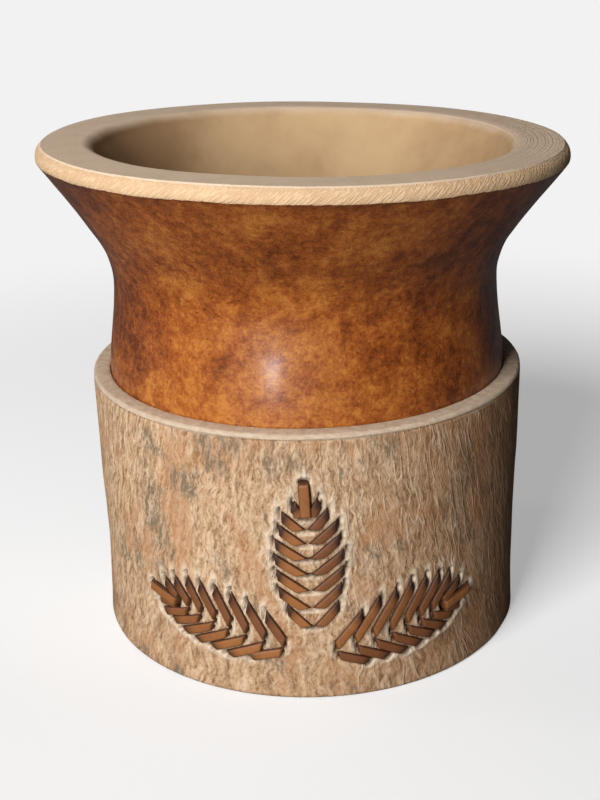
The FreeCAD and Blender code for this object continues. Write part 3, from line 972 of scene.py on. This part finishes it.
@dataclass
class Lacing:
    """All the strips of the three ears, crowned and tucked into the hide."""

    ears: list[WheatEar]
    sleeve: "HideSleeve"
    finish: LaceFinish = field(default_factory=LaceFinish)
    thickness: float = 0.9
    crown: float = 0.05
    edge_drop: float = 0.14
    stand: float = 0.5
    tuck: float = 1.1
    cuts_along: int = 23
    cuts_across: int = 7

    def strips(self) -> list[Strip]:
        """Every strip of every ear."""
        return [strip for ear in self.ears for strip in ear.strips()]

    def build(self) -> list[bpy.types.Object]:
        """Makes a piece for each strip."""
        material = self.finish.material()
        pieces = []
        for strip in self.strips():
            piece = finish_piece(f"lace_{strip.node}", self._bar(strip), material)
            join_frame(piece, "lace", strip.node)
            pieces.append(piece)
        return pieces

    def _bar(self, strip: Strip) -> bmesh.types.BMesh:
        """Shapes one strip from a finely cut bar.

        Args:
            strip: The run that it follows.

        Returns:
            The closed mesh, in millimetres.
        """
        bm = bmesh.new()
        bmesh.ops.create_cube(bm, size=2.0)
        for axis, cuts in enumerate((self.cuts_along, self.cuts_across, 1)):
            edges = [e for e in bm.edges if abs(e.verts[0].co[axis] - e.verts[1].co[axis]) > 1]
            bmesh.ops.subdivide_edges(bm, edges=edges, cuts=cuts, use_grid_fill=True)
        share, side, level = coordinates(bm).T
        share = (share + 1) / 2
        side = np.sign(side) * (1 - (1 - np.abs(side)) ** 1.7)
        write_layer(bm, "across", np.abs(side))
        # The tuck layer holds the painted shade at the strip's ends.
        write_layer(bm, "tuck", self._end_shade(share, strip))
        write_layer(bm, "tone", np.full_like(share, strip.tone))
        half = strip.width / 2 * (0.94 + 0.06 * np.sin(math.pi * share))
        foot_end, tip_end = (np.clip(way * (2 * share - 1), 0, 1) ** 1.5 for way in (-1, 1))
        run = share * strip.length + side * half * (strip.foot_slant * foot_end + strip.tip_slant * tip_end)
        arc = strip.foot[0] + strip.along[0] * run + strip.along[1] * side * half
        height = strip.foot[1] + strip.along[1] * run - strip.along[0] * side * half
        crown = self.crown * (1 - side**2) - self.edge_drop * np.abs(side) ** 12
        out = self._stand(share, strip) + self.thickness / 2 * (level - 1) + crown * (level + 1) / 2
        move_to(bm, self.sleeve.wrap(arc, height, out))
        bmesh.ops.recalc_face_normals(bm, faces=bm.faces)
        return bm

    def _stand(self, share: np.ndarray, strip: Strip) -> np.ndarray:
        """How far the top of a strip stands off the hide along its run.

        Args:
            share: How far each vertex is along the run, from 0 to 1.
            strip: The run.

        Returns:
            The height over the hide at each vertex.
        """
        foot_end = smooth_step(share * strip.length, -0.1, 0.55)
        tip_end = smooth_step((1 - share) * strip.length, -0.1, 0.45 if strip.lift else 0.8)
        level = self.stand + strip.lift
        return level - (level + self.tuck) * (1 - foot_end * tip_end)

    def _end_shade(self, share: np.ndarray, strip: Strip) -> np.ndarray:
        """How much painted shade darkens a strip towards its ends, more so where it stands upright.

        Args:
            share: How far each vertex is along the run, from 0 to 1.
            strip: The run.

        Returns:
            The painted shade at each vertex, from 0 to 1.
        """
        from_foot, from_tip = share * strip.length, (1 - share) * strip.length
        near_foot = smooth_step(from_foot, 0.7, 0.1)
        if strip.lift:
            return np.maximum(near_foot, smooth_step(from_tip, 0.6, 0.2))
        near_tip = 0.4 * smooth_step(from_tip, 3.2, 1.8) + 0.6 * smooth_step(from_tip, 2.0, 1.1)
        return np.maximum(near_foot, near_tip * min(1.0, 0.3 + 1.4 * abs(strip.along[1])))


# ---- The sleeve and its disc ----


@dataclass
class HideSleeve:
    """The thick hide round the belly: wrinkled, slit for the lace, and burnished along its top, where a
    painted highlight lightens it.
    """

    finish: HideFinish = field(default_factory=HideFinish)
    foot_radius: float = 41.7
    waist_radius: float = 41.2
    waist_height: float = 17.0
    top_radius: float = 41.75
    top_height: float = 52.0
    crease_drop: float = 0.98
    wrinkle: float = 0.06
    swell: float = 0.16
    steps: int = 600
    row: float = 0.44

    def radius_at(self, height: np.ndarray) -> np.ndarray:
        """Gives the outer radius at each height."""
        below = (self.foot_radius - self.waist_radius) * np.clip(1 - height / self.waist_height, 0, 1.2) ** 2
        share = np.clip((height - self.waist_height) / (self.top_height - self.waist_height), 0, 1)
        return self.waist_radius + below + (self.top_radius - self.waist_radius) * share * (2 - share)

    def wrap(self, arc: np.ndarray, height: np.ndarray, out: np.ndarray) -> np.ndarray:
        """Wraps flat places round the sleeve.

        Args:
            arc: How far each place is to the right of the front line.
            height: How high each place is.
            out: How far each place stands off the hide.

        Returns:
            One row of x, y and z for each place.
        """
        turn = arc / self.waist_radius
        radius = self.radius_at(height) + out
        return np.column_stack((radius * np.sin(turn), -radius * np.cos(turn), height))

    def outline(self) -> list[Point]:
        """Draws the section of the wall, outside face on the way up."""
        bore = mm_box("base_disc")[1].x + 0.04
        top = mm_box("leather_sleeve")[1].z
        first, last = 0.35, top - 1.55
        rows = int((top - 1.9) / self.row)
        heights = [first + (last - first) * step / rows for step in range(rows + 1)]
        wall = [(float(self.radius_at(np.array(h))), h) for h in heights]
        outer = wall[-1][0]
        crease = top - self.crease_drop
        shoulder = (outer - 0.75, top - 0.03)
        arris = (bore + 0.35, top + 0.04)
        points = [(bore + 0.4, 0.0), (self.foot_radius - 0.9, 0.0), (self.foot_radius - 0.25, 0.06)]
        points += wall
        points += [(outer, crease - 0.27), (outer - 0.07, crease - 0.12)]
        points += [(outer - 0.2, crease), (outer - 0.06, crease + 0.12)]
        points += arc_through((outer - 0.03, top - 0.7), shoulder, 0.2, 6)
        points += arc_through(shoulder, arris, 0.05, 6)
        points += arc_through(arris, (bore, top - 0.35), 0.1, 3)
        points += [(bore, top - 0.5), (bore, top - 6.0), (bore, 25.0), (bore, 0.3)]
        return points

    def build(self, lacing: Lacing) -> bpy.types.Object:
        """Spins the wall, raises its relief and opens it round the lace.

        Args:
            lacing: The strips that the hide is slit for.

        Returns:
            The piece.
        """
        bm = spin_outline(self.outline(), self.steps, closed=True)
        self._raise_relief(bm, lacing)
        piece = finish_piece("rawhide_sleeve", bm, self.finish.material())
        join_frame(piece, "rawhide", "leather_sleeve")
        return piece

    def _raise_relief(self, bm: bmesh.types.BMesh, lacing: Lacing) -> None:
        """Moves the outer face in and out for wrinkles, hollows, lips and slits.

        Args:
            bm: The spun wall.
            lacing: The strips that press and open it.
        """
        places = coordinates(bm)
        x, y, z = places.T
        radius = np.hypot(x, y)
        top = mm_box("leather_sleeve")[1].z
        outer = (radius > self.waist_radius - 1.7) & (z > 0.2)
        turn = np.arctan2(x, -y)
        twist = turn + 0.006 * z
        drawn_out = np.column_stack((radius * np.sin(twist), -radius * np.cos(twist), z * 0.16))
        wrinkle = rough_field(drawn_out, 1.5, 3.0, 2) * self.wrinkle
        swell = rough_field(places, 15.0, 7.0, 2) * smooth_step(z, top, top - 6.0) * self.swell
        calm = smooth_step(z, top - 1.1, top - 2.6) * smooth_step(z, 0.2, 2.5)
        lift, lip, painted_shade = self._lace_marks(turn * self.waist_radius, z, lacing)
        out = np.where(outer, (wrinkle + lift) * calm + swell, 0.0)
        out += np.where(z > top - 0.9, rough_field(places, 2.6, 5.0, 2) * 0.05, 0.0)
        scale = 1 + out / radius
        # Marks the burnished top edge, which also carries a painted highlight.
        worn_and_highlit = smooth_step(z + 0.12 * np.sin(turn * 9), top - 1.15, top - 0.85)
        # Painted shade in the crease under the top edge.
        crease = gauss(z - top + 1.0, 0.13) * 0.4
        write_layer(bm, "worn_and_highlit", worn_and_highlit)
        write_layer(bm, "lip", lip * calm)
        write_layer(bm, "painted_shade", np.maximum(painted_shade * calm, crease))
        move_to(bm, np.column_stack((x * scale, y * scale, z)))

    @staticmethod
    def _lace_marks(
        arc: np.ndarray, z: np.ndarray, lacing: Lacing
    ) -> tuple[np.ndarray, np.ndarray, np.ndarray]:
        """Works out how the lace presses, lifts and opens the hide.

        Args:
            arc: Each vertex's arc from the front line.
            z: Each vertex's height.
            lacing: The strips.

        Returns:
            The lift of the surface, how much of it is a pale stretched lip, and how much painted shade falls
            in the slits and round the strips.
        """
        lift = np.zeros_like(z)
        lip = np.zeros_like(z)
        painted_shade = np.zeros_like(z)
        for strip in lacing.strips():
            (ax, az), (fx, fz) = strip.along, strip.foot
            half = strip.width / 2
            side = (arc - fx) * az - (z - fz) * ax
            run = (arc - fx) * ax + (z - fz) * az
            before = strip.foot_slant * side - run
            past = run - strip.tip_slant * side - strip.length
            away = np.hypot(np.maximum(np.maximum(before, past), 0.0), side)
            near = away < 4.0
            bed = gauss(away, half * 0.95, 8)
            within = gauss(side, half * 1.15, 6)
            tip_slit = gauss(past, 0.28) * gauss(side, half * 1.15, 8)
            foot_slit = gauss(before, 0.24) * gauss(side, half * 1.1, 8)
            tip_lip = smooth_step(past, 0.1, 0.45) * smooth_step(past, 1.9, 0.6) * within
            tip_halo = gauss(np.hypot(past, side) - half, 0.7071) * smooth_step(past, -1.8, 0.0)
            foot_lip = smooth_step(before, 0.1, 0.35) * smooth_step(before, 1.9, 0.7) * within
            slit = np.maximum(tip_slit, foot_slit)
            press = -0.22 * bed + 0.2 * tip_lip + 0.1 * tip_halo + 0.14 * foot_lip - 0.75 * slit
            lift += np.where(near, press, 0.0)
            pale = np.maximum(np.maximum(0.8 * tip_halo, tip_lip), 0.7 * foot_lip)
            lip = np.maximum(lip, np.where(near, pale, 0.0))
            # Painted contact shadow: a thin dark line round each strip.
            contact_shadow = gauss(away - half, 0.15) * 0.35
            painted_shade = np.maximum(painted_shade, np.where(near, np.maximum(slit, contact_shadow), 0.0))
        return np.maximum(lift, -1.4), lip * (1 - painted_shade), painted_shade


@dataclass
class BaseDisc:
    """The hide disc that closes the sleeve's foot."""

    finish: bpy.types.Material
    edge_round: float = 0.35

    def build(self) -> bpy.types.Object:
        """Raises a rounded disc between the table and the gourd."""
        low, high = mm_box("base_disc")
        bm = bmesh.new()
        bmesh.ops.create_circle(bm, cap_ends=True, segments=128, radius=high.x - 0.05)
        bmesh.ops.translate(bm, vec=(0, 0, low.z), verts=bm.verts)
        raised = bmesh.ops.extrude_face_region(bm, geom=bm.faces[:])
        corners = [item for item in raised["geom"] if isinstance(item, bmesh.types.BMVert)]
        bmesh.ops.translate(bm, vec=(0, 0, high.z - low.z - 0.02), verts=corners)
        rims = [e for e in bm.edges if abs(e.verts[0].co.z - e.verts[1].co.z) < 1e-6]
        bmesh.ops.bevel(
            bm, geom=rims, offset=self.edge_round, segments=3, profile=0.5, affect="EDGES", material=-1
        )
        bmesh.ops.recalc_face_normals(bm, faces=bm.faces)
        for name in ("worn_and_highlit", "lip", "painted_shade"):
            write_layer(bm, name, np.zeros(len(bm.verts)))
        piece = finish_piece("hide_disc", bm, self.finish)
        join_frame(piece, "rawhide", "base_disc")
        return piece


# ---- The studio ----


@dataclass(frozen=True)
class SoftBox:
    """A rectangular lamp aimed at the cup, with places in metres and power in watts."""

    name: str
    place: tuple[float, float, float]
    size: tuple[float, float]
    power: float
    aim: tuple[float, float, float] = (0.0, 0.0, 0.05)

    def build(self) -> None:
        """Hangs the lamp, turned to its aim."""
        lamp = bpy.data.lights.new(self.name, "AREA")
        lamp.shape = "RECTANGLE"
        lamp.size, lamp.size_y = self.size
        lamp.energy = self.power
        holder = bpy.data.objects.new(self.name, lamp)
        way = Vector(self.aim) - Vector(self.place)
        turn = way.to_track_quat("-Z", "Y").to_matrix().to_4x4()
        holder.matrix_world = Matrix.Translation(self.place) @ turn
        bpy.context.scene.collection.objects.link(holder)


@dataclass(frozen=True)
class FloorFinish:
    """A pale table that keeps the cup's shadow and fades into the plain background."""

    level: float = 0.888
    own: float = 0.16
    shown: float = 0.70
    shown_in_front: float = 0.595
    glow: float = 0.37

    def material(self) -> bpy.types.Material:
        """Lights the table near the cup, and shows the plain level further off."""
        r = Recipe.material("pale_table")
        place = r.place()
        seen = r.node("ShaderNodeLightPath", out="Is Camera Ray")
        through = r.node("ShaderNodeLightPath", out="Is Transmission Ray")
        shown = r.node("ShaderNodeMath", {"operation": "MAXIMUM"}, {0: seen, 1: through})
        away = r.node("ShaderNodeVectorMath", {"operation": "LENGTH"}, {0: place}, out="Value")
        front = r.part(place, "Y").ramp(10.0 * MM, -45.0 * MM)
        lit = self._mixed(r, front, self._matt(r, self.shown), self._matt(r, self.shown_in_front))
        glow = r.node("ShaderNodeEmission", {}, {"Strength": self.glow})
        near = r.node("ShaderNodeAddShader", {}, {0: lit, 1: glow})
        plain = r.node("ShaderNodeEmission", {}, {"Strength": self.level})
        faded = self._mixed(r, away.ramp(0.13, 0.30), near, plain)
        surface = self._mixed(r, shown, self._matt(r, self.own), faded)
        r.node("ShaderNodeOutputMaterial", {}, {"Surface": surface})
        return r.owner

    @staticmethod
    def _matt(r: Recipe, grey: float) -> Wire:
        """Gives a plain matt grey."""
        return r.node("ShaderNodeBsdfDiffuse", {}, {"Color": (grey, grey, grey, 1.0)})

    @staticmethod
    def _mixed(r: Recipe, share: Wire, first: Wire, second: Wire) -> Wire:
        """Mixes two shaders by the share of the second."""
        return r.node("ShaderNodeMixShader", {}, {0: share, 1: first, 2: second})


@dataclass
class Studio:
    """The table, the soft light and the camera, in metres and degrees."""

    floor: FloorFinish = field(default_factory=FloorFinish)
    eye: tuple[float, float, float] = (-0.0015, -0.250, 0.1385)
    pitch: float = 21.03
    roll: float = 1.33
    lens: float = 60.15
    surround: float = 0.04
    backdrop: float = 0.888

    def build(self) -> None:
        """Sets up everything that isn't the cup."""
        self._table()
        self._world()
        for box in self._lamps():
            box.build()
        self._camera()
        bpy.context.scene.view_settings.view_transform = "Standard"
        log.info("studio: table, lamps and camera")

    def _lamps(self) -> list[SoftBox]:
        """The lamps: a key from the left front, a low strip for the sheen, and a card at the left."""
        return [
            SoftBox("key", (-0.41, -0.62, 0.67), (0.34, 0.34), 7.9),
            SoftBox("sheen", (-0.30, -0.86, 0.16), (0.10, 0.46), 6.2),
            SoftBox("left_card", (-0.75, 0.10, 0.22), (0.10, 0.5), 0.7),
        ]

    def _table(self) -> None:
        """Lays the table under the cup."""
        bm = bmesh.new()
        bmesh.ops.create_grid(bm, x_segments=2, y_segments=2, size=6.0)
        mesh = bpy.data.meshes.new("table")
        bm.to_mesh(mesh)
        bm.free()
        mesh.materials.append(self.floor.material())
        table = bpy.data.objects.new("table", mesh)
        table.location.z = -0.00002
        bpy.context.scene.collection.objects.link(table)

    def _world(self) -> None:
        """Surrounds the cup with dim even light, which the camera sees as plain background."""
        r = Recipe(bpy.data.worlds.new("surround"))
        seen = r.node("ShaderNodeLightPath", out="Is Camera Ray")
        dim, plain = (
            r.node("ShaderNodeBackground", {}, {"Color": (1.0, 1.0, 1.0, 1.0), "Strength": strength})
            for strength in (self.surround, self.backdrop)
        )
        surface = r.node("ShaderNodeMixShader", {}, {0: seen, 1: dim, 2: plain})
        r.node("ShaderNodeOutputWorld", {}, {"Surface": surface})
        bpy.context.scene.world = r.owner

    def _camera(self) -> None:
        """Stands the camera in front of the cup and a little above its rim."""
        lens = bpy.data.cameras.new("camera")
        lens.lens = self.lens
        camera = bpy.data.objects.new("camera", lens)
        tilt = Matrix.Rotation(math.radians(90.0 - self.pitch), 4, "X")
        turn = Matrix.Rotation(math.radians(-self.roll), 4, "Z")
        camera.matrix_world = Matrix.Translation(self.eye) @ tilt @ turn
        bpy.context.scene.collection.objects.link(camera)
        bpy.context.scene.camera = camera


def main() -> None:
    """Builds the cup piece by piece, then the studio round it."""
    logging.basicConfig(level=logging.INFO, format="%(message)s")
    ears = [
        WheatEar("middle", 0, arc=0.0, height=14.6, lean=-2.5, left=Half(0.98, 4.6), right=Half(1.0, 4.9)),
        WheatEar("left", 1, arc=-5.3, height=10.4, lean=-75.4, left=Half(0.86, 6.6), right=Half(1.08, 5.4)),
        WheatEar("right", 2, arc=4.0, height=9.6, lean=77.8, left=Half(1.24, 6.9), right=Half(0.80, 6.0)),
    ]
    GourdShell().build()
    sleeve = HideSleeve()
    lacing = Lacing(ears, sleeve)
    hide = sleeve.build(lacing)
    lacing.build()
    BaseDisc(hide.data.materials[0]).build()
    Studio().build()


if __name__ == "__main__":
    main()
